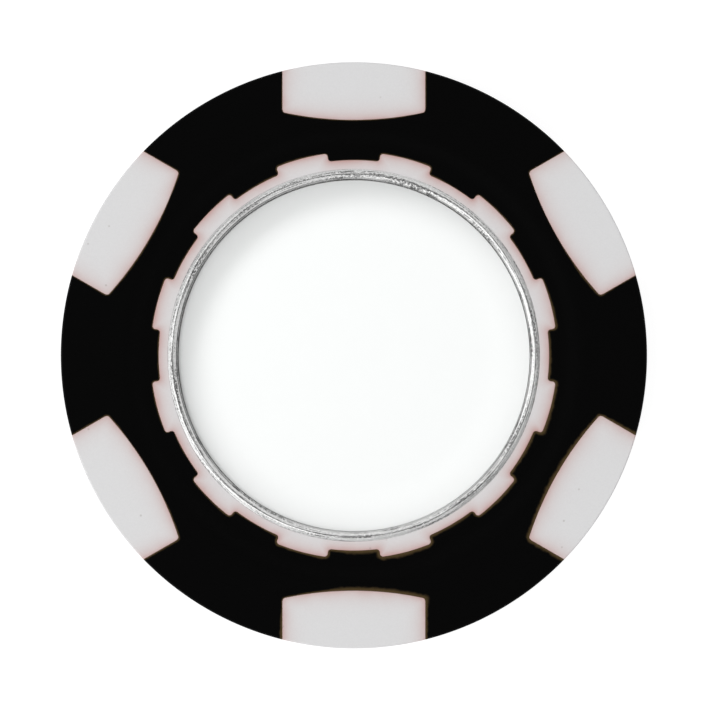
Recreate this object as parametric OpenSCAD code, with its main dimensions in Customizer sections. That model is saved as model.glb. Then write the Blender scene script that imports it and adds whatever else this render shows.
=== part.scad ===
// Poker chip with a lift-out ball marker.
// The chip is a two-shot moulding: a white core with edge spots and a toothed collar, locked into a
// black face moulding. A steel ring inside gives it weight. The marker is a struck metal cup with a
// printed disc under clear resin. It drops into a pocket and a magnet in the pocket floor holds it.
// The chip lies flat on its back. +Z points up through the marker, and the origin is the centre of
// the back face.

/* [Chip] */
// Outside diameter of the chip
chip_d = 40; // [38:0.5:45]
// Thickness of the chip
chip_t = 3.4; // [3.1:0.1:5]
// Radius on both edges of the rim
rim_round = 0.35; // [0.1:0.05:0.8]
// Thickness of the black face layer over the white web
face_layer_t = 0.75; // [0.4:0.05:0.9]
// Depth of the shallow recess in both faces
recess_depth = 0.12; // [0.05:0.01:0.3]
// Plain margin between the collar's teeth and the edge of the recess
recess_margin = 0.42; // [0.2:0.02:0.8]

/* [Edge spots] */
// Number of white spots around the rim
spot_count = 6; // [4:1:8]
// Width of a spot across its two parallel sides
spot_w = 9.75; // [6:0.25:11]
// How far a spot reaches in from the rim, at its middle
spot_reach = 3.95; // [2.5:0.05:4.5]
// Black margin that a spot always leaves outside the recess, on a small chip too
spot_clearance = 0.5; // [0.2:0.1:1]
// How far the middle of a spot's inner end bows out past its corners
spot_bow = 0.53; // [0.2:0.01:1.2]
// Radius of a spot's two inner corners
spot_corner_round = 0.25; // [0.1:0.05:0.6]

/* [Collar] */
// Number of white teeth around the pocket
tooth_count = 12; // [8:1:18]
// Part of the tooth pitch that is white
tooth_share = 0.5; // [0.3:0.02:0.7]
// Wall between the pocket and the foot of the teeth
collar_wall = 0.52; // [0.3:0.02:1]
// Height of a tooth
tooth_h = 0.56; // [0.4:0.02:1]
// Radius on the corners of a tooth
tooth_round = 0.14; // [0.05:0.01:0.2]

/* [Core web] */
// How far the hidden web runs outwards under the spots, from their inner end
web_overlap = 1.2; // [0.8:0.1:2]

/* [Weight ring] */
// Thickness of the steel ring
weight_t = 1; // [0.6:0.1:1.2]
// White wall left inside and outside the steel ring
weight_wall = 0.7; // [0.4:0.05:1]
// Diameter of the holes left by the pins that held the ring in the mould
support_d = 1.2; // [0.6:0.1:1.5]
// Number of those holes on each side
support_count = 6; // [3:1:12]

/* [Magnet] */
// Diameter of the disc magnet
magnet_d = 10; // [6:0.5:16]
// Thickness of the magnet
magnet_t = 1; // [0.5:0.1:1.2]
// How far the magnet stands up out of the pocket floor, so that the marker can be rocked out
magnet_proud = 0.15; // [0.05:0.05:0.4]
// Chamfer on both edges of the magnet
magnet_chamfer = 0.12; // [0.05:0.01:0.2]
// Glue gap around the magnet
glue_gap = 0.05; // [0.02:0.01:0.15]

/* [Pocket] */
// Clearance between the marker and the pocket wall
pocket_clearance = 0.1; // [0.05:0.05:0.3]
// Lead-in chamfer at the mouth of the pocket
pocket_lead = 0.08; // [0.04:0.01:0.2]
// How far the top of the marker's rim lies below the face of the chip
marker_inset = 0.05; // [0:0.01:0.2]

/* [Marker] */
// Diameter of the marker
marker_d = 25.4; // [22:0.1:28]
// Thickness of the marker under the printed disc
marker_base_t = 0.8; // [0.5:0.05:1]
// Height of the marker's rim above that
marker_rim_h = 0.8; // [0.65:0.05:1]
// Width of the rim
marker_rim_w = 0.75; // [0.5:0.05:1.5]
// Radius on both edges of the rim
marker_rim_round = 0.28; // [0.05:0.01:0.35]
// Chamfer around the marker's underside
marker_chamfer = 0.15; // [0.05:0.05:0.3]

/* [Printed face] */
// Thickness of the printed disc
print_t = 0.12; // [0.08:0.02:0.2]
// Thickness of the clear resin at its middle
resin_t = 0.14; // [0.1:0.02:0.3]
// How far the resin climbs the rim
resin_climb = 0.24; // [0.05:0.01:0.3]
// Width of the curve in which it climbs
resin_climb_w = 2.6; // [1:0.1:5]

/* [Hidden] */

$fn = 128;
// Overrun of every cut past the face it opens
overrun = 0.5;
// Straight steps along the resin's curve
resin_steps = 12;

// Radii, from the marker outwards
marker_r = marker_d / 2;
cup_r = marker_r - marker_rim_w;
magnet_r = magnet_d / 2;
pocket_r = marker_r + pocket_clearance;
tooth_root_r = pocket_r + collar_wall;
tooth_tip_r = tooth_root_r + tooth_h;
recess_r = tooth_tip_r + recess_margin;
chip_r = chip_d / 2;
spot_end_r = max(chip_r - spot_reach, recess_r + recess_depth + spot_clearance);
web_r = spot_end_r + web_overlap;
weight_in_r = pocket_r + weight_wall;
weight_out_r = web_r - weight_wall;
support_place_r = (weight_in_r + weight_out_r) / 2;

// Heights, from the back face upwards
marker_t = marker_base_t + marker_rim_h;
marker_z = chip_t - marker_inset - marker_t;
pocket_z = marker_z - magnet_proud;
magnet_z = marker_z - magnet_t;
weight_z = (chip_t - weight_t) / 2;
print_z = marker_z + marker_base_t;
resin_z = print_z + print_t;

// The rounding of the marker's rim stays inside its wall
rim_round_limit_share = 0.45;
cup_round = min(marker_rim_round, rim_round_limit_share * min(marker_rim_w, marker_rim_h));

spot_pitch = 360 / spot_count;
tooth_pitch = 360 / tooth_count;

black_abs = [0.035, 0.035, 0.035];
white_abs = [0.85, 0.84, 0.84];
print_white = [0.98, 0.98, 0.98];
clear_resin = [0.95, 0.97, 1, 0.35];

// A point given by its radius and angle
function polar(r, a) = r * [cos(a), sin(a)];

// What lies between a rounding and the sharp corner that it replaces.
// The rounding runs between two directions, seen from its centre.
module corner_sliver(centre, r, from, to) {
    difference() {
        polygon([centre,
                 centre + polar(2 * r, from),
                 centre + polar(2 * r, from) + polar(2 * r, to),
                 centre + polar(2 * r, to)]);
        translate(centre)
            circle(r);
    }
}

// Half section of the whole chip: a rounded rim, and a shallow recess with sloped sides in both faces
module chip_section() {
    difference() {
        square([chip_r, chip_t]);
        for (face = [0, 1])
            translate([0, face * chip_t])
                mirror([0, face]) {
                    corner_sliver([chip_r - rim_round, rim_round], rim_round, 0, -90);
                    polygon([[-overrun, recess_depth],
                             [recess_r, recess_depth],
                             [recess_r + recess_depth + overrun, -overrun],
                             [-overrun, -overrun]]);
                }
    }
}

module chip_blank() {
    rotate_extrude()
        chip_section();
}

// One edge spot, pointing out along +X: parallel sides, rounded corners and a bowed inner end
module spot() {
    bow_r = (pow(spot_w / 2, 2) + pow(spot_bow, 2)) / (2 * spot_bow);
    bow_x = spot_end_r + bow_r;
    corner_y = spot_w / 2 - spot_corner_round;
    corner_x = bow_x - sqrt(pow(bow_r - spot_corner_round, 2) - pow(corner_y, 2));
    corner_a = atan2(corner_y, corner_x - bow_x);
    difference() {
        intersection() {
            translate([bow_x, 0])
                circle(bow_r);
            translate([spot_end_r - overrun, -spot_w / 2])
                square([chip_r - spot_end_r + 2 * overrun, spot_w]);
        }
        for (side = [-1, 1])
            corner_sliver([corner_x, side * corner_y], spot_corner_round, side * 90, side * corner_a);
    }
}

// One tooth of the collar, pointing out along +X: radial sides, rounded tip and filleted foot
module tooth() {
    half = tooth_pitch * tooth_share / 2;
    tip_r = tooth_tip_r - tooth_round;
    tip_a = half - asin(tooth_round / tip_r);
    foot_r = tooth_root_r + tooth_round;
    foot_a = half + asin(tooth_round / foot_r);
    difference() {
        intersection() {
            circle(tooth_tip_r);
            polygon([polar(pocket_r, -half), polar(2 * tooth_tip_r, -half),
                     polar(2 * tooth_tip_r, half), polar(pocket_r, half)]);
        }
        for (side = [-1, 1])
            corner_sliver(polar(tip_r, side * tip_a), tooth_round, side * (half + 90), side * tip_a);
    }
    for (side = [-1, 1])
        corner_sliver(polar(foot_r, side * foot_a), tooth_round, side * (half - 90), side * (foot_a + 180));
}

// Where the chip is white through its full thickness: collar and spots, run on past both faces
module white_pattern() {
    translate([0, 0, -overrun])
        linear_extrude(chip_t + 2 * overrun) {
            circle(tooth_root_r);
            for (i = [0 : tooth_count - 1])
                rotate((i + 1 / 2) * tooth_pitch)
                    tooth();
            for (i = [0 : spot_count - 1])
                rotate((i + 1 / 2) * spot_pitch)
                    spot();
        }
}

// The disc between the black face layers that joins the collar to the spots
module web() {
    translate([0, 0, face_layer_t])
        cylinder(r = web_r, h = chip_t - 2 * face_layer_t);
}

// The pin holes through the web, down to the steel ring from both sides. They run on past the web.
module support_holes(run_on) {
    for (i = [0 : support_count - 1])
        rotate(i * 360 / support_count)
            translate([support_place_r, 0, 0]) {
                translate([0, 0, face_layer_t - run_on])
                    cylinder(d = support_d, h = weight_z - face_layer_t + run_on);
                translate([0, 0, weight_z + weight_t])
                    cylinder(d = support_d, h = weight_z - face_layer_t + run_on);
            }
}

// The marker's pocket with its lead-in, and the magnet's seat in its floor
module pocket() {
    mouth_z = chip_t - recess_depth - pocket_lead;
    translate([0, 0, pocket_z])
        cylinder(r = pocket_r, h = chip_t - pocket_z + overrun);
    translate([0, 0, mouth_z])
        cylinder(r1 = pocket_r, r2 = pocket_r + pocket_lead + overrun, h = pocket_lead + overrun);
    translate([0, 0, magnet_z])
        cylinder(r = magnet_r + glue_gap, h = pocket_z - magnet_z + overrun);
}

module steel_ring() {
    translate([0, 0, weight_z])
        difference() {
            cylinder(r = weight_out_r, h = weight_t);
            translate([0, 0, -overrun])
                cylinder(r = weight_in_r, h = weight_t + 2 * overrun);
        }
}

// White first shot, moulded around the steel ring
module core_moulding() {
    color(white_abs)
        difference() {
            union() {
                intersection() {
                    chip_blank();
                    white_pattern();
                }
                web();
            }
            pocket();
            steel_ring();
            support_holes(overrun);
        }
}

// Black second shot: both faces, the rim between the spots and the plugs in the pin holes, in one piece
module face_moulding() {
    color(black_abs) {
        difference() {
            chip_blank();
            white_pattern();
            web();
        }
        support_holes(face_layer_t / 2);
    }
}

// Steel ring sealed in the core
module weight_ring() {
    color("slategray")
        steel_ring();
}

// Disc magnet glued into its seat
module magnet() {
    flat_r = magnet_r - magnet_chamfer;
    color("silver")
        translate([0, 0, magnet_z])
            rotate_extrude()
                polygon([[0, 0], [flat_r, 0], [magnet_r, magnet_chamfer],
                         [magnet_r, magnet_t - magnet_chamfer], [flat_r, magnet_t], [0, magnet_t]]);
}

// Half section of the marker's cup: a chamfered underside and a rounded rim
module cup_section() {
    difference() {
        polygon([[0, 0], [marker_r - marker_chamfer, 0], [marker_r, marker_chamfer],
                 [marker_r, marker_t], [0, marker_t]]);
        translate([-overrun, marker_base_t])
            square([cup_r + overrun, marker_rim_h + overrun]);
        corner_sliver([marker_r - cup_round, marker_t - cup_round], cup_round, 0, 90);
        corner_sliver([cup_r + cup_round, marker_t - cup_round], cup_round, 90, 180);
    }
}

// Struck metal cup of the marker
module marker_cup() {
    color("silver")
        translate([0, 0, marker_z])
            rotate_extrude()
                cup_section();
}

// Printed disc that lies in the cup
module print_disc() {
    color(print_white)
        translate([0, 0, print_z])
            cylinder(r = cup_r, h = print_t);
}

// Clear resin poured over the print: level in the middle, and climbing the rim in a hollow curve
module resin_cover() {
    level_r = cup_r - resin_climb_w;
    curve_r = (pow(resin_climb_w, 2) + pow(resin_climb, 2)) / (2 * resin_climb);
    curve_a = asin(resin_climb_w / curve_r);
    curve = [for (i = [0 : resin_steps])
                [level_r, resin_t + curve_r] + polar(curve_r, curve_a * (1 - i / resin_steps) - 90)];
    color(clear_resin)
        translate([0, 0, resin_z])
            rotate_extrude()
                polygon(concat([[0, 0], [cup_r, 0]], curve, [[0, resin_t]]));
}

core_moulding();
face_moulding();
weight_ring();
magnet();
marker_cup();
print_disc();
resin_cover();
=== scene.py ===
import math

import bpy
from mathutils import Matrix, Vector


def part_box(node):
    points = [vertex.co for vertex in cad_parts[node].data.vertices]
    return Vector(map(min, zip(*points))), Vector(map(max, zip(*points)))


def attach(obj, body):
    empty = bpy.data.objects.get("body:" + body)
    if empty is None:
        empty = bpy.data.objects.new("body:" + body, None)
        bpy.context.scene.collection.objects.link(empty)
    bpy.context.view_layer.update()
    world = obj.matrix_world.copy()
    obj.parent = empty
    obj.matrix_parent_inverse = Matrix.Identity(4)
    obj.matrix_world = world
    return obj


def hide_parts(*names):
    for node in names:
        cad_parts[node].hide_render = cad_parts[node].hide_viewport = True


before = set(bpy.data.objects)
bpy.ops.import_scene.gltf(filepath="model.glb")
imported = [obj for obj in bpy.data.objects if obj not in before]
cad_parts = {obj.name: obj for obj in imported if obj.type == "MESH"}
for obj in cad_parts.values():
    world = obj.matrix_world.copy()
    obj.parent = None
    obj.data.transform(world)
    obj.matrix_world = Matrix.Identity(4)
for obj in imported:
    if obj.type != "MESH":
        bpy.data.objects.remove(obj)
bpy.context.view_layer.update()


# Weight ring
# A punched steel ring that gives the chip its heft. The white plastic is moulded round it,
# so it is sealed in and only its CAD solid stands for it.
MM = 0.001
STEEL = (0.42, 0.43, 0.45, 1)
STEEL_DARK = (0.30, 0.31, 0.33, 1)
rolling_squeeze = (0.4, 9.0, 9.0)
cloud_low = 0.3
cloud_high = 0.7


def add_node(tree, kind, inputs=None, **settings):
    """Adds a shader node, sets its options, and links or sets its inputs."""
    node = tree.nodes.new(kind)
    for option, value in settings.items():
        setattr(node, option, value)
    for key, value in (inputs or {}).items():
        if isinstance(value, bpy.types.NodeSocket):
            tree.links.new(value, node.inputs[key])
        else:
            node.inputs[key].default_value = value
    return node


def calc(tree, operation, a, b=0.0, c=0.0, clamp=False):
    """One step of arithmetic on values that change over the surface."""
    return add_node(tree, "ShaderNodeMath", {0: a, 1: b, 2: c},
                    operation=operation, use_clamp=clamp).outputs[0]


def vector_calc(tree, operation, a, b=(0, 0, 0)):
    """One step of arithmetic on places or directions. A length or a dot product is a plain value."""
    node = add_node(tree, "ShaderNodeVectorMath", {0: a, 1: b}, operation=operation)
    return node.outputs[1 if operation in ("LENGTH", "DOT_PRODUCT") else 0]


def remap(tree, value, from_low, from_high, to_low=0.0, to_high=1.0, smooth=False):
    """Carries a value from one range to another and stops at its ends."""
    kind = "SMOOTHSTEP" if smooth else "LINEAR"
    return add_node(tree, "ShaderNodeMapRange",
                    {0: value, 1: from_low, 2: from_high, 3: to_low, 4: to_high},
                    interpolation_type=kind, clamp=True).outputs[0]


def blend_colour(tree, factor, first, second):
    """Lays the second colour over the first."""
    return add_node(tree, "ShaderNodeMix", {0: factor, 6: first, 7: second}, data_type="RGBA").outputs[2]


def noise(tree, position, scale, detail=2.0, roughness=0.5):
    """Cloudy value from 0 to 1. The scale is in features per unit of position."""
    return add_node(tree, "ShaderNodeTexNoise",
                    {"Vector": position, "Scale": scale, "Detail": detail,
                     "Roughness": roughness}).outputs[0]


def start_material(name, **plain):
    """New material with the values that are the same all over, and its position in millimetres."""
    material = bpy.data.materials.new(name)
    material.use_nodes = True
    tree = material.node_tree
    shader = tree.nodes["Principled BSDF"]
    for socket, value in plain.items():
        shader.inputs[socket.replace("_", " ")].default_value = value
    place = add_node(tree, "ShaderNodeTexCoord").outputs["Object"]
    scaled = add_node(tree, "ShaderNodeVectorMath", {0: place, 3: 1 / MM}, operation="SCALE")
    return material, tree, shader, scaled.outputs[0]


def vary_roughness(tree, shader, cloudy, smoothest, roughest):
    """Roughness that follows a cloudy value from one limit to the other."""
    spread = remap(tree, cloudy, cloud_low, cloud_high, smoothest, roughest)
    tree.links.new(spread, shader.inputs["Roughness"])


def raise_surface(tree, shader, height, depth_mm):
    """Fine relief of a given depth, as a bump on the shader's normal."""
    bump = add_node(tree, "ShaderNodeBump", {"Height": height, "Distance": depth_mm * MM})
    tree.links.new(bump.outputs[0], shader.inputs["Normal"])


steel, tree, shader, at_mm = start_material("punched_steel", Metallic=1.0)
mill_lines = vector_calc(tree, "MULTIPLY", at_mm, rolling_squeeze)
rolled = noise(tree, mill_lines, scale=1.6, detail=4.0)
tree.links.new(blend_colour(tree, rolled, STEEL, STEEL_DARK), shader.inputs["Base Color"])
vary_roughness(tree, shader, rolled, smoothest=0.28, roughest=0.46)
raise_surface(tree, shader, rolled, depth_mm=0.01)
weight_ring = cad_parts["weight_ring"]
weight_ring.material_slots[0].material = steel


# White core moulding
# First shot of the chip, in white ABS: pocket floor, toothed collar, hidden web and six edge spots
# in one piece. It is moulded round the steel ring, then goes into the second mould whole.
chip_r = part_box("face_moulding")[1].x / MM
chip_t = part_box("face_moulding")[1].z / MM
rim_round = 0.12
recess_depth = 0.12
recess_r = 13.98
recess_out_r = 15.90
face_layer_t = 0.75
pocket_r = 12.704
pocket_lead = 0.004
pocket_fillet = 0.1
pocket_z = 1.60
seat_r = 5.05
seat_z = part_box("magnet")[0].z / MM
tooth_count = 12
tooth_root_r = 13.32
tooth_tip_r = 13.88
tooth_round = 0.22
spot_count = 6
spot_w = 9.75
spot_end_r = 16.05
spot_bow = 0.53
spot_corner_round = 0.25
web_r = 17.25
ring_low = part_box("weight_ring")[0] / MM
ring_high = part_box("weight_ring")[1] / MM
ring_in_r = 13.50
pin_r = 0.60
pin_count = 6
seam_bevel = 0.025
bow_r = ((spot_w / 2) ** 2 + spot_bow ** 2) / (2 * spot_bow)
bow_x = spot_end_r + bow_r

# How finely the shapes are drawn, and how closely their parts are told apart
chip_segments = 360
bow_segments = 720
ring_segments = 180
pin_segments = 32
rim_steps = 9
recess_steps = 12
fillet_steps = 3
tooth_round_segments = 5
spot_round_segments = 6
overrun = 1.0
margin = 0.01
turn_margin = 0.05
tool_weld_m = 1e-7
seam_weld_m = 2e-7
order_from_m = (0.05, 0.023, -0.031)
flat_angle = 0.05
sharp_angle = 70
moulded_shade_angle = 22


def arc(centre, radius, first, last, steps):
    """Points of an arc in a profile, as (radius, height), from one angle to another in degrees."""
    angles = [math.radians(first + (last - first) * i / steps) for i in range(steps + 1)]
    return [(centre[0] + radius * math.cos(a), centre[1] + radius * math.sin(a)) for a in angles]


def turn_profile(name, profile, segments, ring=False, middle=(0, 0)):
    """Draws a profile round an upright axis, one edge loop after another. Both ends are closed with a
    flat face, or joined to each other where the piece is a ring."""
    bpy.ops.object.select_all(action="DESELECT")
    radius, height = profile[0]
    x, y = middle[0] * MM, middle[1] * MM
    bpy.ops.mesh.primitive_circle_add(vertices=segments, radius=radius * MM,
                                      location=(x, y, height * MM),
                                      fill_type="NOTHING" if ring else "NGON")
    piece = bpy.context.object
    piece.name = name
    bpy.ops.object.transform_apply(location=True, rotation=True, scale=True)
    bpy.ops.object.mode_set(mode="EDIT")
    bpy.ops.mesh.select_mode(type="EDGE")
    bpy.ops.mesh.select_all(action="SELECT")
    for next_radius, next_height in profile[1:]:
        rise = (0, 0, (next_height - height) * MM)
        bpy.ops.mesh.extrude_edges_move(TRANSFORM_OT_translate={"value": rise})
        growth = next_radius / radius
        bpy.ops.transform.resize(value=(growth, growth, 1), center_override=(x, y, next_height * MM))
        radius, height = next_radius, next_height
    if ring:
        bpy.ops.mesh.select_all(action="SELECT")
        bpy.ops.mesh.region_to_loop()
        bpy.ops.mesh.bridge_edge_loops()
    else:
        bpy.ops.mesh.edge_face_add()
    bpy.ops.mesh.select_all(action="SELECT")
    bpy.ops.mesh.normals_make_consistent(inside=False)
    bpy.ops.object.mode_set(mode="OBJECT")
    return piece


def choose(piece, kind, test):
    """Selects the faces or edges of the mesh in edit mode whose corners pass a test, in millimetres."""
    bpy.ops.mesh.select_mode(type=kind)
    bpy.ops.mesh.select_all(action="DESELECT")
    bpy.ops.object.mode_set(mode="OBJECT")
    mesh = piece.data
    for part in (mesh.polygons if kind == "FACE" else mesh.edges):
        corners = [mesh.vertices[i].co / MM for i in part.vertices]
        part.select = test(corners)
    bpy.ops.object.mode_set(mode="EDIT")


def pick(*pieces):
    """Selects these pieces alone and makes the first one active."""
    bpy.ops.object.select_all(action="DESELECT")
    for piece in pieces:
        piece.select_set(True)
    bpy.context.view_layer.objects.active = pieces[0]


def copy_piece(piece, name):
    """Copy of a piece with a mesh of its own."""
    pick(piece)
    bpy.ops.object.duplicate()
    twin = bpy.context.object
    twin.name = name
    return twin


def turn_copies(piece, count, first_angle):
    """Sets a piece and its copies round the Z axis at equal angles and joins them into one object."""
    ring_of = [piece] + [copy_piece(piece, piece.name + "_copy") for _ in range(count - 1)]
    for i, one in enumerate(ring_of):
        one.rotation_euler.z = math.radians(first_angle + 360 * i / count)
    pick(*ring_of)
    bpy.ops.object.transform_apply(location=True, rotation=True, scale=True)
    bpy.ops.object.join()
    return piece


def put_in_order():
    """Numbers the corners, edges and faces in edit mode by their distance from one place, because a
    boolean may number them differently from run to run."""
    bpy.context.scene.cursor.location = order_from_m
    bpy.ops.mesh.select_all(action="SELECT")
    bpy.ops.mesh.sort_elements(type="CURSOR_DISTANCE", elements={"VERT", "EDGE", "FACE"})


def combine(piece, tool, operation):
    """Cuts, joins or intersects a piece with a tool solid."""
    pick(piece)
    change = piece.modifiers.new("combine", "BOOLEAN")
    change.operation = operation
    change.solver = "EXACT"
    change.object = tool
    bpy.ops.object.modifier_apply(modifier=change.name)
    bpy.ops.object.mode_set(mode="EDIT")
    put_in_order()
    bpy.ops.object.mode_set(mode="OBJECT")


def tool_cylinder(name, radius, low, high, segments, x=0.0, turn=0.0):
    """Solid cylinder from one height to another, used to cut or to join."""
    bpy.ops.object.select_all(action="DESELECT")
    bpy.ops.mesh.primitive_cylinder_add(vertices=segments, radius=radius * MM, depth=(high - low) * MM,
                                        location=(x * MM, 0, (low + high) / 2 * MM),
                                        rotation=(0, 0, math.radians(turn)))
    bpy.context.object.name = name
    bpy.ops.object.transform_apply(location=True, rotation=True, scale=True)
    return bpy.context.object


def discard(*tools):
    """Removes tool solids that have done their work."""
    for tool in tools:
        bpy.data.objects.remove(tool)


def smooth_by_angle(piece, degrees):
    """Rounds shade smooth and corners stay sharp, with the large faces ruling the shading."""
    pick(piece)
    bpy.ops.object.shade_smooth_by_angle(angle=math.radians(degrees))
    weighted = piece.modifiers.new("weighted", "WEIGHTED_NORMAL")
    weighted.keep_sharp = True
    bpy.ops.object.modifier_apply(modifier=weighted.name)


def dress(piece, material):
    """Gives a piece one material all over."""
    piece.data.materials.clear()
    piece.data.materials.append(material)


# The whole chip before it is parted into white and black: a turned blank with rounded rim
rim_low = arc((chip_r - rim_round, rim_round), rim_round, -90, 0, rim_steps)
rim_high = arc((chip_r - rim_round, chip_t - rim_round), rim_round, 0, 90, rim_steps)
recess_slope = [(recess_r + (recess_out_r - recess_r) * s, recess_depth * (1 - s * s * (3 - 2 * s)))
                for s in [i / recess_steps for i in range(recess_steps + 1)]]
recess_above = [(r, chip_t - z) for r, z in recess_slope[::-1]]
chip_blank = turn_profile("chip_blank", [*recess_slope, *rim_low, *rim_high, *recess_above], chip_segments)

# The collar's outline: a cylinder whose side is drawn out into teeth, with rounded corners
half_segment = 180 / chip_segments
collar_tool = tool_cylinder("collar_tool", tooth_root_r, -overrun, chip_t + overrun, chip_segments,
                            turn=half_segment)
tooth_pitch = 360 / tooth_count


def on_tooth(corners):
    """Whether a face on the side of the cylinder is drawn out into a tooth."""
    middle = sum(corners[1:], corners[0]) / len(corners)
    turn = math.degrees(math.atan2(middle.y, middle.x)) % tooth_pitch
    on_side = min(c.z for c in corners) < 0 and max(c.z for c in corners) > chip_t
    return on_side and abs(turn - tooth_pitch / 2) < tooth_pitch / 4


def tooth_corner(corners):
    """Whether an edge is an upright corner of a tooth, at its tip or at its root."""
    a, b = corners
    turn = math.degrees(math.atan2(a.y, a.x)) % (tooth_pitch / 2)
    upright = abs(a.z - b.z) > chip_t
    return upright and abs(turn - tooth_pitch / 4) < turn_margin


bpy.ops.object.mode_set(mode="EDIT")
choose(collar_tool, "FACE", on_tooth)
bpy.ops.mesh.extrude_region()
stretch = tooth_tip_r / tooth_root_r
bpy.ops.transform.resize(value=(stretch, stretch, 1), center_override=(0, 0, 0))
choose(collar_tool, "EDGE", tooth_corner)
bpy.ops.mesh.bevel(offset=tooth_round * MM, segments=tooth_round_segments, affect="EDGES",
                   clamp_overlap=False)
bpy.ops.mesh.select_all(action="SELECT")
bpy.ops.mesh.remove_doubles(threshold=tool_weld_m)
bpy.ops.mesh.normals_make_consistent(inside=False)
bpy.ops.object.mode_set(mode="OBJECT")

# One edge spot's outline: a block whose inner end is cut to a bow, with two rounded corners
bpy.ops.object.select_all(action="DESELECT")
spot_length = chip_r + overrun - (spot_end_r - overrun)
spot_middle = spot_end_r - overrun + spot_length / 2
bpy.ops.mesh.primitive_cube_add(size=MM, location=(spot_middle * MM, 0, chip_t / 2 * MM),
                                scale=(spot_length, spot_w, chip_t + 2 * overrun))
spot_tool = bpy.context.object
spot_tool.name = "spot_tool"
bpy.ops.object.transform_apply(location=True, rotation=True, scale=True)
bow_tool = tool_cylinder("bow_tool", bow_r, -2 * overrun, chip_t + 2 * overrun, bow_segments, x=bow_x)
combine(spot_tool, bow_tool, "INTERSECT")
discard(bow_tool)


def spot_corner(corners):
    """Whether an edge is one of the two upright corners at the ends of the bow."""
    a, b = corners
    upright = abs(a.z - b.z) > chip_t
    return upright and abs(a.y) > spot_w / 2 - margin and a.x < chip_r - overrun


bpy.ops.object.mode_set(mode="EDIT")
choose(spot_tool, "EDGE", spot_corner)
bpy.ops.mesh.bevel(offset=spot_corner_round * MM, segments=spot_round_segments, affect="EDGES",
                   clamp_overlap=False)
bpy.ops.object.mode_set(mode="OBJECT")
turn_copies(spot_tool, spot_count, 360 / spot_count / 2)

# Collar and spots together are where the chip is white through its full thickness
pick(collar_tool, spot_tool)
bpy.ops.object.join()
white_pattern = collar_tool
white_pattern.name = "white_pattern"

web_tool = tool_cylinder("web_tool", web_r, face_layer_t, chip_t - face_layer_t, chip_segments)
pocket_top = chip_t - recess_depth
pocket_tool = turn_profile("pocket_tool", [
    (seat_r, seat_z), (seat_r, pocket_z), (pocket_r - pocket_fillet, pocket_z),
    *arc((pocket_r - pocket_fillet, pocket_z + pocket_fillet), pocket_fillet, -60, 0, fillet_steps),
    (pocket_r, pocket_top - pocket_lead), (pocket_r + pocket_lead, pocket_top),
    (pocket_r + pocket_lead + overrun, pocket_top + overrun)], chip_segments)
ring_tool = turn_profile("ring_tool", [
    (ring_in_r, ring_low.z), (ring_high.x, ring_low.z), (ring_high.x, ring_high.z),
    (ring_in_r, ring_high.z)], ring_segments, ring=True)
pin_x = (ring_in_r + ring_high.x) / 2
pin_low = face_layer_t / 2
pin_high = chip_t - face_layer_t / 2
pin_hole = tool_cylinder("pin_hole", pin_r, pin_low, pin_high, pin_segments, x=pin_x)
turn_copies(pin_hole, pin_count, 0)

core = copy_piece(chip_blank, "core")
combine(core, white_pattern, "INTERSECT")
combine(core, web_tool, "UNION")
for tool in (pocket_tool, ring_tool, pin_hole):
    combine(core, tool, "DIFFERENCE")


def on_outside(point):
    """Whether a point lies on one of the chip's faces or on its rim, in millimetres."""
    on_face = point.z < recess_depth + margin or point.z > chip_t - recess_depth - margin
    return on_face or math.hypot(point.x, point.y) > chip_r - rim_round - margin


def break_seam_edges(piece):
    """A hair of a bevel where white and black meet, on both faces and down the rim."""
    pick(piece)
    bpy.ops.object.mode_set(mode="EDIT")
    bpy.ops.mesh.select_all(action="SELECT")
    bpy.ops.mesh.remove_doubles(threshold=seam_weld_m)
    bpy.ops.mesh.dissolve_limited(angle_limit=math.radians(flat_angle))
    put_in_order()
    bpy.ops.mesh.select_mode(type="EDGE")
    bpy.ops.mesh.select_all(action="DESELECT")
    bpy.ops.mesh.edges_select_sharp(sharpness=math.radians(sharp_angle))
    bpy.ops.object.mode_set(mode="OBJECT")
    mesh = piece.data
    for edge in mesh.edges:
        ends = [mesh.vertices[i].co / MM for i in edge.vertices]
        edge.select = edge.select and all(on_outside(end) for end in ends)
    bpy.ops.object.mode_set(mode="EDIT")
    bpy.ops.mesh.bevel(offset=seam_bevel * MM, segments=1, affect="EDGES", clamp_overlap=True)
    bpy.ops.mesh.select_all(action="SELECT")
    bpy.ops.mesh.normals_make_consistent(inside=False)
    bpy.ops.object.mode_set(mode="OBJECT")


break_seam_edges(core)
smooth_by_angle(core, moulded_shade_angle)

# How far a point lies from the line where white meets black, in millimetres, less than 0 in white
seam_distance = bpy.data.node_groups.new("seam_distance", "ShaderNodeTree")
seam_distance.interface.new_socket("Position", in_out="INPUT", socket_type="NodeSocketVector")
seam_distance.interface.new_socket("Distance", in_out="OUTPUT", socket_type="NodeSocketFloat")
bow_corner_blend = 0.45


def step(operation, a, b=0.0, c=0.0):
    """One step of arithmetic in the group that finds the seam."""
    return calc(seam_distance, operation, a, b, c)


def diagonal(first, second):
    """Distance between the ends of two legs that stand at a right angle."""
    squares = [step("MULTIPLY", leg, leg) for leg in (first, second)]
    return step("POWER", step("ADD", *squares), 0.5)


def from_sector_middle(turn, half):
    """Turn from the middle of the sector that a point lies in. The sectors are two halves wide."""
    return step("WRAP", step("SUBTRACT", turn, half), half, -half)


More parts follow.
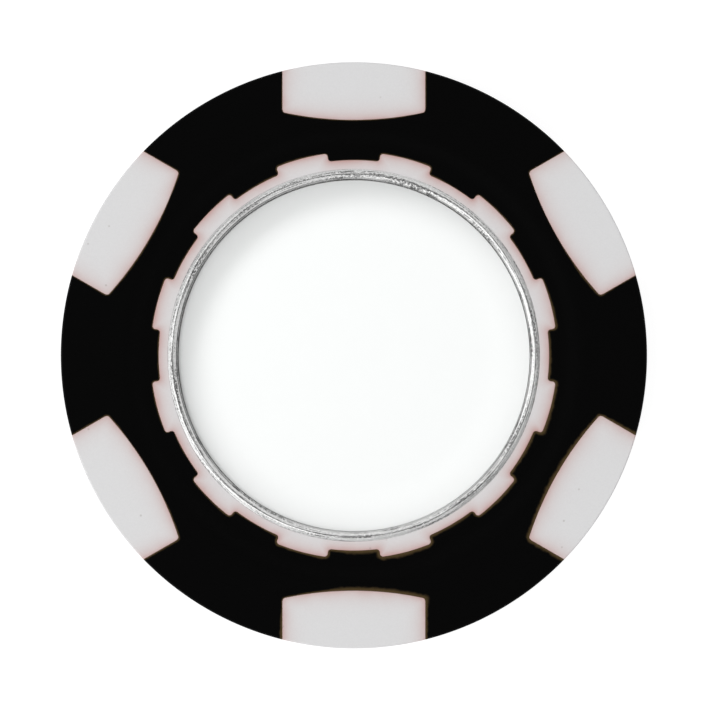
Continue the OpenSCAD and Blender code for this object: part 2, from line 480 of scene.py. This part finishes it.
group_in = add_node(seam_distance, "NodeGroupInput").outputs["Position"]
axes = add_node(seam_distance, "ShaderNodeSeparateXYZ", {0: group_in})
radial = diagonal(axes.outputs[0], axes.outputs[1])
angle = step("ARCTAN2", axes.outputs[1], axes.outputs[0])
spot_half = math.pi / spot_count
spot_turn = from_sector_middle(angle, spot_half)
along = step("MULTIPLY", radial, step("COSINE", spot_turn))
across = step("MULTIPLY", radial, step("SINE", spot_turn))
from_bow = step("SUBTRACT", along, bow_x)
bow_gap = step("SUBTRACT", diagonal(from_bow, across), bow_r)
side_gap = step("SUBTRACT", step("ABSOLUTE", across), spot_w / 2)
spot_gap = step("SMOOTH_MAX", bow_gap, side_gap, bow_corner_blend)
tooth_half = math.pi / tooth_count
tooth_turn = from_sector_middle(angle, tooth_half)
past_flank = step("MULTIPLY", radial, step("SUBTRACT", step("ABSOLUTE", tooth_turn), tooth_half / 2))
past_root = step("SUBTRACT", radial, tooth_root_r)
past_tip = step("SUBTRACT", radial, tooth_tip_r)


def to_corner(first, second, sign):
    """Distance to a rounded corner of the collar, from how far a point lies past its two sides."""
    legs = [step("MAXIMUM", step("MULTIPLY_ADD", leg, sign, tooth_round), 0.0) for leg in (first, second)]
    return step("SUBTRACT", diagonal(*legs), tooth_round)


past_tooth = to_corner(past_tip, past_flank, 1.0)
collar_out = step("MAXIMUM", step("MINIMUM", past_root, past_tooth), 0.0)
inside_root = to_corner(past_root, past_flank, -1.0)
inside_tip = step("MULTIPLY", past_tip, -1.0)
collar_in = step("MAXIMUM", step("MINIMUM", inside_root, inside_tip), 0.0)
collar_gap = step("SUBTRACT", collar_out, collar_in)
add_node(seam_distance, "NodeGroupOutput", {0: step("MINIMUM", spot_gap, collar_gap)})


def seam_at(tree, at_mm):
    """Places the seam distance in a material."""
    group = add_node(tree, "ShaderNodeGroup", node_tree=seam_distance)
    tree.links.new(at_mm, group.inputs[0])
    return group.outputs[0]


def distance_from_axis(tree, at_mm):
    """How far a point lies from the chip's axis, in millimetres."""
    return vector_calc(tree, "LENGTH", vector_calc(tree, "MULTIPLY", at_mm, (1, 1, 0)))


# White plastic that is stained pink in its skin, along the seam, and carries a few dark specks
WHITE_ABS = (0.757, 0.755, 0.760, 1)
WHITE_GRAIN = (0.728, 0.725, 0.730, 1)
WHITE_AT_SEAM = (0.580, 0.374, 0.352, 1)
SPECK = (0.25, 0.2, 0.17, 1)
seam_fade = 0.46
face_skin_ends = 0.45
face_skin_full = 0.20
rim_skin_ends = 0.60
rim_skin_full = 0.30
spot_stain = 0.84
stain_inset = 0.5
speck_r = 0.04
speck_blur_r = 0.09
speck_rareness = 0.62
speck_strength = 0.35
white_abs, tree, shader, at_mm = start_material("white_abs", IOR=1.5)
into_white = calc(tree, "MAXIMUM", calc(tree, "MULTIPLY", seam_at(tree, at_mm), -1.0), 0.0)
fade = calc(tree, "EXPONENT", calc(tree, "MULTIPLY", into_white, -1 / seam_fade))
from_axis = distance_from_axis(tree, at_mm)
height = add_node(tree, "ShaderNodeSeparateXYZ", {0: at_mm}).outputs[2]
from_half = calc(tree, "ABSOLUTE", calc(tree, "SUBTRACT", height, chip_t / 2))
near_face = remap(tree, from_half, chip_t / 2 - face_skin_ends, chip_t / 2 - face_skin_full)
near_rim = remap(tree, from_axis, chip_r - rim_skin_ends, chip_r - rim_skin_full)
skin = calc(tree, "MULTIPLY", calc(tree, "MAXIMUM", near_face, near_rim), fade)
collar_to_spot = remap(tree, from_axis, tooth_tip_r + stain_inset, spot_end_r - stain_inset,
                       to_low=1.0, to_high=spot_stain)
clouds = remap(tree, noise(tree, at_mm, scale=0.55, detail=3.0), cloud_low, cloud_high,
               to_low=0.75, to_high=1.15)
cloudy = calc(tree, "MULTIPLY", collar_to_spot, clouds)
stain = calc(tree, "MULTIPLY", skin, cloudy, clamp=True)
grain = noise(tree, at_mm, scale=9.0, detail=3.0, roughness=0.6)
plain = blend_colour(tree, remap(tree, grain, 0.35, 0.75), WHITE_ABS, WHITE_GRAIN)
stained = blend_colour(tree, stain, plain, WHITE_AT_SEAM)
specks = add_node(tree, "ShaderNodeTexVoronoi", {"Vector": at_mm, "Scale": 0.9, "Randomness": 1.0})
lot = add_node(tree, "ShaderNodeSeparateColor", {0: specks.outputs["Color"]}).outputs[0]
drawn = calc(tree, "GREATER_THAN", lot, speck_rareness)
spread = remap(tree, specks.outputs["Distance"], speck_r, speck_blur_r, to_low=1.0, to_high=0.0)
speck = calc(tree, "MULTIPLY", calc(tree, "MULTIPLY", spread, drawn), speck_strength)
tree.links.new(blend_colour(tree, speck, stained, SPECK), shader.inputs["Base Color"])
vary_roughness(tree, shader, grain, smoothest=0.34, roughest=0.46)
raise_surface(tree, shader, grain, depth_mm=0.006)
dress(core, white_abs)
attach(core, "chip")
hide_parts("core_moulding")


# Black face moulding
# Second shot of the chip, in black ABS: front face, back face and the rim between the spots, in one
# piece. It flows round the white core and into its pin holes, which locks the two together.
face = copy_piece(chip_blank, "face")
combine(face, white_pattern, "DIFFERENCE")
combine(face, web_tool, "DIFFERENCE")
for low, high in ((pin_low, ring_low.z), (ring_high.z, pin_high)):
    plug = tool_cylinder("plug", pin_r, low, high, pin_segments, x=pin_x)
    turn_copies(plug, pin_count, 0)
    combine(face, plug, "UNION")
    discard(plug)
discard(chip_blank, white_pattern, web_tool, pocket_tool, ring_tool, pin_hole)
break_seam_edges(face)
smooth_by_angle(face, moulded_shade_angle)

# Black plastic with a thin brown lip along the seam, wider and more ragged towards its worn side
BLACK_ABS = (0.0024, 0.0024, 0.0024, 1)
BROWN_LIP = (0.082, 0.055, 0.024, 1)
lip_w = 0.09
lip_full = 0.1
lip_ends = 1.75
worn_way = (0.5, -0.866, 0)
wear_from = -6.0
wear_to = 14.0
black_abs, tree, shader, at_mm = start_material("black_abs", IOR=1.5, Specular_IOR_Level=0.08)
into_black = seam_at(tree, at_mm)
to_worn_side = vector_calc(tree, "DOT_PRODUCT", at_mm, worn_way)
worn = remap(tree, to_worn_side, wear_from, wear_to, to_low=0.6, to_high=1.6)
patchy = remap(tree, noise(tree, at_mm, scale=0.22, detail=1.0), 0.35, 0.65,
               to_low=0.45, to_high=1.35)
frayed = remap(tree, noise(tree, at_mm, scale=2.6, detail=3.0), cloud_low, cloud_high,
               to_low=0.78, to_high=1.22)
ragged = calc(tree, "MULTIPLY", patchy, frayed)
reach = calc(tree, "MULTIPLY", calc(tree, "MULTIPLY", worn, ragged), lip_w)
lip = remap(tree, calc(tree, "DIVIDE", into_black, reach), lip_full, lip_ends,
            to_low=1.0, to_high=0.0, smooth=True)
tree.links.new(blend_colour(tree, lip, BLACK_ABS, BROWN_LIP), shader.inputs["Base Color"])
fine_grain = noise(tree, at_mm, scale=7.0, detail=4.0, roughness=0.6)
vary_roughness(tree, shader, fine_grain, smoothest=0.13, roughest=0.18)
raise_surface(tree, shader, fine_grain, depth_mm=0.002)
dress(face, black_abs)
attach(face, "chip")
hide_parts("face_moulding")


# Magnet
# Nickel-plated disc magnet, glued into its seat in the pocket floor. It stands a little proud, so
# that a press on the marker's edge rocks the marker out.
NICKEL = (0.62, 0.60, 0.55, 1)
NICKEL_SCUFFED = (0.55, 0.53, 0.485, 1)
magnet_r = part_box("magnet")[1].x / MM
magnet_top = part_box("magnet")[1].z / MM
magnet_round = 0.12
turned_shade_angle = 40
magnet = turn_profile("magnet_disc", [
    *arc((magnet_r - magnet_round, seat_z + magnet_round), magnet_round, -90, 0, fillet_steps),
    *arc((magnet_r - magnet_round, magnet_top - magnet_round), magnet_round, 0, 90, fillet_steps)],
    ring_segments)
smooth_by_angle(magnet, turned_shade_angle)
nickel, tree, shader, at_mm = start_material("nickel_plate", Metallic=1.0)
scuffs = noise(tree, at_mm, scale=3.2, detail=6.0, roughness=0.7)
scuffed = blend_colour(tree, remap(tree, scuffs, 0.48, 0.72), NICKEL, NICKEL_SCUFFED)
tree.links.new(scuffed, shader.inputs["Base Color"])
vary_roughness(tree, shader, scuffs, smoothest=0.15, roughest=0.27)
raise_surface(tree, shader, scuffs, depth_mm=0.004)
dress(magnet, nickel)
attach(magnet, "chip")
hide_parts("magnet")


# Marker cup
# Body of the ball marker: a struck and plated steel cup with a rounded rim, tumbled after plating,
# so the rim carries fine streaks, pits and small dents.
marker_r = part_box("marker_cup")[1].x / MM
marker_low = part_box("marker_cup")[0].z / MM
marker_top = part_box("marker_cup")[1].z / MM
print_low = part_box("print_disc")[0].z / MM
cup_r = 12.05
crest_r = 12.40
under_edge = 0.15
cup_segments = 720
slope_out = [(0.0, 0.105), (0.02, 0.097), (0.06, 0.078), (0.10, 0.059), (0.14, 0.042), (0.18, 0.027),
             (0.21, 0.017), (0.24, 0.009), (0.27, 0.003), (0.30, 0.0)]
slope_in = [(0.04, 0.0025), (0.07, 0.007), (0.10, 0.0125), (0.14, 0.021), (0.18, 0.030),
            (0.22, 0.0395), (0.245, 0.046), (0.26, 0.0525), (0.275, 0.062), (0.295, 0.0775),
            (0.315, 0.095), (0.33, 0.109), (0.34, 0.122), (0.347, 0.150), (0.35, 0.220)]
cup = turn_profile("cup", [
    (marker_r - under_edge, marker_low), (marker_r, marker_low + under_edge),
    *[(marker_r - inwards, marker_top - drop) for inwards, drop in slope_out],
    *[(crest_r - inwards, marker_top - drop) for inwards, drop in slope_in],
    (cup_r, print_low)], cup_segments)

# Small dents in the rounded top of the rim, pushed into the mesh
dented_drop = 0.15
dented_inset = 0.015
dent_level = 0.75


def on_crest(corners):
    """Whether a face lies on the rounded top of the rim."""
    lowest = min(c.z for c in corners)
    widest = max(math.hypot(c.x, c.y) for c in corners)
    return lowest > marker_top - dented_drop and widest < marker_r - dented_inset


bpy.ops.object.mode_set(mode="EDIT")
choose(cup, "FACE", on_crest)
bpy.ops.object.vertex_group_add()
bpy.ops.object.vertex_group_assign()
bpy.ops.object.mode_set(mode="OBJECT")
for feature_mm, depth_mm in ((0.9, 0.006), (0.28, 0.003)):
    dents = bpy.data.textures.new("rim_dents", "CLOUDS")
    dents.noise_scale = feature_mm * MM
    dents.noise_depth = 2
    push = cup.modifiers.new("dents", "DISPLACE")
    push.texture = dents
    push.texture_coords = "LOCAL"
    push.strength = depth_mm * 2 * MM
    push.mid_level = dent_level
    push.vertex_group = cup.vertex_groups[0].name
    bpy.ops.object.modifier_apply(modifier=push.name)
smooth_by_angle(cup, turned_shade_angle)

# Bright plate with dark dotted streaks round the rim, fewer of them down its side
PLATED = (0.90, 0.90, 0.895, 1)
PLATED_DIM = (0.72, 0.72, 0.715, 1)
PITTED = (0.10, 0.10, 0.10, 1)
rim_drop = 0.25
side_drop = 0.5
rim_pits = 0.85
side_pits = 0.25
streak_share = 0.5
dash_share = 0.15
grain_share = 0.35
plated, tree, shader, at_mm = start_material("plated_steel", Metallic=1.0)
axes = add_node(tree, "ShaderNodeSeparateXYZ", {0: at_mm})
from_axis = distance_from_axis(tree, at_mm)
over_rim = calc(tree, "SUBTRACT", from_axis, axes.outputs[2])


def rim_marks(length_mm, width_mm):
    """Cloudy value for marks that run round the rim, of a given length and width."""
    bearings = [calc(tree, "DIVIDE", axes.outputs[i], from_axis) for i in (0, 1)]
    x, y = [calc(tree, "MULTIPLY", bearing, marker_r / length_mm) for bearing in bearings]
    z = calc(tree, "DIVIDE", over_rim, width_mm)
    return noise(tree, add_node(tree, "ShaderNodeCombineXYZ", {0: x, 1: y, 2: z}).outputs[0], scale=1.0)


streaks = rim_marks(length_mm=3.6, width_mm=0.08)
dashes = rim_marks(length_mm=0.17, width_mm=0.08)
grain = noise(tree, at_mm, scale=11.0, detail=3.0, roughness=0.65)
dotted = calc(tree, "MULTIPLY", remap(tree, streaks, 0.47, 0.60), remap(tree, dashes, 0.40, 0.56))
tumbled = blend_colour(tree, remap(tree, grain, 0.35, 0.65), PLATED, PLATED_DIM)
pits_here = remap(tree, axes.outputs[2], marker_top - side_drop, marker_top - rim_drop,
                  to_low=side_pits, to_high=rim_pits)
pits = calc(tree, "MULTIPLY", dotted, pits_here)
tree.links.new(blend_colour(tree, pits, tumbled, PITTED), shader.inputs["Base Color"])
vary_roughness(tree, shader, grain, smoothest=0.14, roughest=0.26)
grain_and_dashes = calc(tree, "MULTIPLY_ADD", dashes, dash_share,
                        calc(tree, "MULTIPLY", grain, grain_share))
relief = calc(tree, "MULTIPLY_ADD", streaks, streak_share, grain_and_dashes)
raise_surface(tree, shader, relief, depth_mm=0.022)
dress(cup, plated)
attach(cup, "marker")
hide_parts("marker_cup")


# Printed disc
# Blank white print, cut from coated stock and laid in the cup a hair off its centre. Its edge is
# pressed up a little where the resin climbs the rim. Its colour greys towards the edge, which is
# painted shade of the rim wall, not a tone of the print.
PRINT_WHITE = (0.882, 0.896, 0.889, 1)
PRINT_FIBRE = (0.870, 0.884, 0.877, 1)
# Painted shade: the grey that the print's colour turns towards the rim wall.
PAINTED_EDGE_SHADE = (0.73, 0.74, 0.735, 1)
print_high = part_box("print_disc")[1].z / MM
level_r = 9.10
crevice = 0.06
print_climb = 0.18
hollow_power = 2.2
hollow_steps = 20
print_segments = 240
print_edge = cup_r - crevice
laid_at = (0.015, -0.035)
painted_shade_r = 9.5
painted_shade_power = 1.6


def hollow(low, climb):
    """Points of a level disc that climbs in a hollow curve towards its edge, from the edge inwards."""
    shares = [1 - i / hollow_steps for i in range(hollow_steps)]
    curve = [(level_r + (print_edge - level_r) * s, low + climb * s ** hollow_power) for s in shares]
    return curve + [(level_r, low)]


print_disc = turn_profile("print", [(print_edge, print_low), *hollow(print_high, print_climb)],
                          print_segments, middle=laid_at)
smooth_by_angle(print_disc, turned_shade_angle)
print_white, tree, shader, at_mm = start_material("white_print", IOR=1.45, Coat_Weight=1.0,
                                                  Coat_Roughness=0.04)
paper = noise(tree, at_mm, scale=5.0, detail=4.0, roughness=0.6)
fibres = blend_colour(tree, paper, PRINT_WHITE, PRINT_FIBRE)
from_axis = distance_from_axis(tree, at_mm)
# Painted shade: the print's colour greys with distance from the axis towards the rim wall.
painted_edge_shade = calc(tree, "POWER", remap(tree, from_axis, painted_shade_r, print_edge), painted_shade_power)
tree.links.new(blend_colour(tree, painted_edge_shade, fibres, PAINTED_EDGE_SHADE), shader.inputs["Base Color"])
vary_roughness(tree, shader, paper, smoothest=0.5, roughest=0.62)
dress(print_disc, print_white)
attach(print_disc, "marker")
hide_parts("print_disc")


# Resin cover
# Clear resin, poured over the print and left to set: level in the middle and drawn up the rim at its
# edge. It reaches a hair into the print, so that no air shows between the two.
RESIN = (1, 1, 1, 1)
RESIN_TINT = (0.985, 0.99, 0.99, 1)
resin_t = 0.14
resin_climb = 0.24
bond = 0.01
resin = turn_profile("resin", [
    *hollow(print_high - bond, print_climb)[::-1],
    *hollow(print_high + resin_t, resin_climb)], print_segments, middle=laid_at)
smooth_by_angle(resin, turned_shade_angle)
clear, tree, shader, at_mm = start_material("clear_resin", IOR=1.5, Alpha=0.06)
ripple = noise(tree, at_mm, scale=0.35)
vary_roughness(tree, shader, ripple, smoothest=0.02, roughest=0.06)
tree.links.new(blend_colour(tree, ripple, RESIN, RESIN_TINT), shader.inputs["Base Color"])
dress(resin, clear)
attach(resin, "marker")
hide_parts("resin_cover")


# Floor
# A plain pale studio table that glows a little, so that shadows stay faint. It shows from above
# alone, so that the chip's back can be seen, and its middle lies off to the side of the chip.
FLOOR_GREY = (0.30, 0.30, 0.30, 1)
WHITE_LIGHT = (1, 1, 1, 1)
floor_m = 2.4
floor_shift_m = 0.3
floor_drop = 0.01
bpy.ops.object.select_all(action="DESELECT")
bpy.ops.mesh.primitive_plane_add(size=floor_m, location=(floor_shift_m, 0, -floor_drop * MM))
floor = bpy.context.object
floor.name = "floor"
pale, tree, shader, at_mm = start_material("pale_floor", Emission_Strength=0.88, Roughness=0.9,
                                           Specular_IOR_Level=0.0, Base_Color=FLOOR_GREY,
                                           Emission_Color=WHITE_LIGHT)
from_below = add_node(tree, "ShaderNodeNewGeometry").outputs["Backfacing"]
see_through = add_node(tree, "ShaderNodeBsdfTransparent").outputs[0]
one_sided = add_node(tree, "ShaderNodeMixShader", {0: from_below, 1: shader.outputs[0], 2: see_through})
tree.links.new(one_sided.outputs[0], tree.nodes["Material Output"].inputs["Surface"])
floor.data.materials.append(pale)


# Light and camera
# A white tent that is open above, where the camera looks straight down, with two gaps in its foot and
# a brighter panel at the left. A soft key also stands at the left, and a low light from the upper left
# reaches the marker alone. Glossy surfaces mirror the tent, not the two lights.
opening_begins = math.sin(math.radians(73))
opening_full = math.sin(math.radians(81))
opening_light = 0.02
gap_full = 0.97
foot_light = 0.58
climb_begins = 0.2
climb_ends = 1.25
panel_turn = 202
panel_rise = 51
panel_begins = math.cos(math.radians(42))
panel_full = math.cos(math.radians(10))
panel_light = 0.58
scene = bpy.context.scene
scene.view_settings.view_transform = "Standard"
scene.view_settings.look = "None"
world = bpy.data.worlds.new("tent")
scene.world = world
world.use_nodes = True
sky = world.node_tree
background = sky.nodes["Background"]
direction = add_node(sky, "ShaderNodeTexCoord").outputs["Generated"]
height = add_node(sky, "ShaderNodeSeparateXYZ", {0: direction}).outputs[2]
opening = remap(sky, height, opening_begins, opening_full,
                to_low=1.0, to_high=opening_light, smooth=True)
bearing = vector_calc(sky, "NORMALIZE", vector_calc(sky, "MULTIPLY", direction, (1, 1, 0)))


def way_to(turn, rise=0.0):
    """Direction from the chip, by its turn round the axis and its rise from the floor, in degrees."""
    turn, rise = math.radians(turn), math.radians(rise)
    return (math.cos(rise) * math.cos(turn), math.cos(rise) * math.sin(turn), math.sin(rise))


def gap_in_tent(turn, begins, light):
    """Share of the light that is left towards a gap in the tent's foot, by the bearing."""
    facing = vector_calc(sky, "DOT_PRODUCT", bearing, way_to(turn))
    return remap(sky, facing, begins, gap_full, to_low=1.0, to_high=light, smooth=True)


wide_gap = gap_in_tent(turn=345, begins=0.0, light=0.17)
narrow_gap = gap_in_tent(turn=165, begins=0.7, light=0.5)
foot = calc(sky, "MULTIPLY", calc(sky, "MULTIPLY", wide_gap, narrow_gap), foot_light)
climb = remap(sky, height, climb_begins, climb_ends, smooth=True)
wall = calc(sky, "MULTIPLY_ADD", climb, calc(sky, "SUBTRACT", 1.0, foot), foot)
to_panel = vector_calc(sky, "DOT_PRODUCT", direction, way_to(panel_turn, panel_rise))
panel = remap(sky, to_panel, panel_begins, panel_full, to_low=0.0, to_high=panel_light, smooth=True)
tent = calc(sky, "MULTIPLY", calc(sky, "ADD", wall, panel), opening)
sky.links.new(tent, background.inputs["Strength"])
background.inputs["Color"].default_value = WHITE_LIGHT


def soft_light(name, turn, rise, far, tall, wide, radiance):
    """A soft box that faces the chip from a turn and a rise in degrees. Its sizes are in metres."""
    place = [far * part for part in way_to(turn, rise)]
    facing = (0, math.pi / 2 - math.radians(rise), math.radians(turn))
    bpy.ops.object.light_add(type="AREA", location=place, rotation=facing)
    lamp = bpy.context.object
    lamp.name = name
    lamp.data.shape = "RECTANGLE"
    lamp.data.size = tall
    lamp.data.size_y = wide
    lamp.data.energy = radiance * math.pi * tall * wide
    lamp.visible_camera = False
    lamp.visible_glossy = False
    return lamp


soft_light("key", turn=197, rise=60, far=0.36, tall=0.12, wide=0.16, radiance=5.95)
low_light = soft_light("low_light", turn=132, rise=15.5, far=0.40, tall=0.06, wide=0.34, radiance=24.0)
on_marker = bpy.data.collections.new("on_marker")
for piece in (cup, print_disc, resin):
    on_marker.objects.link(piece)
low_light.light_linking.receiver_collection = on_marker

photo_px = 709
chip_r_px = 293.2
chip_px = (353.9, 355.3)
px_per_mm = chip_r_px / chip_r
frame_mm = photo_px / px_per_mm
bpy.ops.object.camera_add()
camera = bpy.context.object
camera.data.sensor_width = 36
camera.data.lens = 220
camera_x = (photo_px / 2 - chip_px[0]) / px_per_mm
camera_y = (chip_px[1] - photo_px / 2) / px_per_mm
camera_z = camera.data.lens / camera.data.sensor_width * frame_mm + chip_t - rim_round
camera.location = (camera_x * MM, camera_y * MM, camera_z * MM)
scene.camera = camera
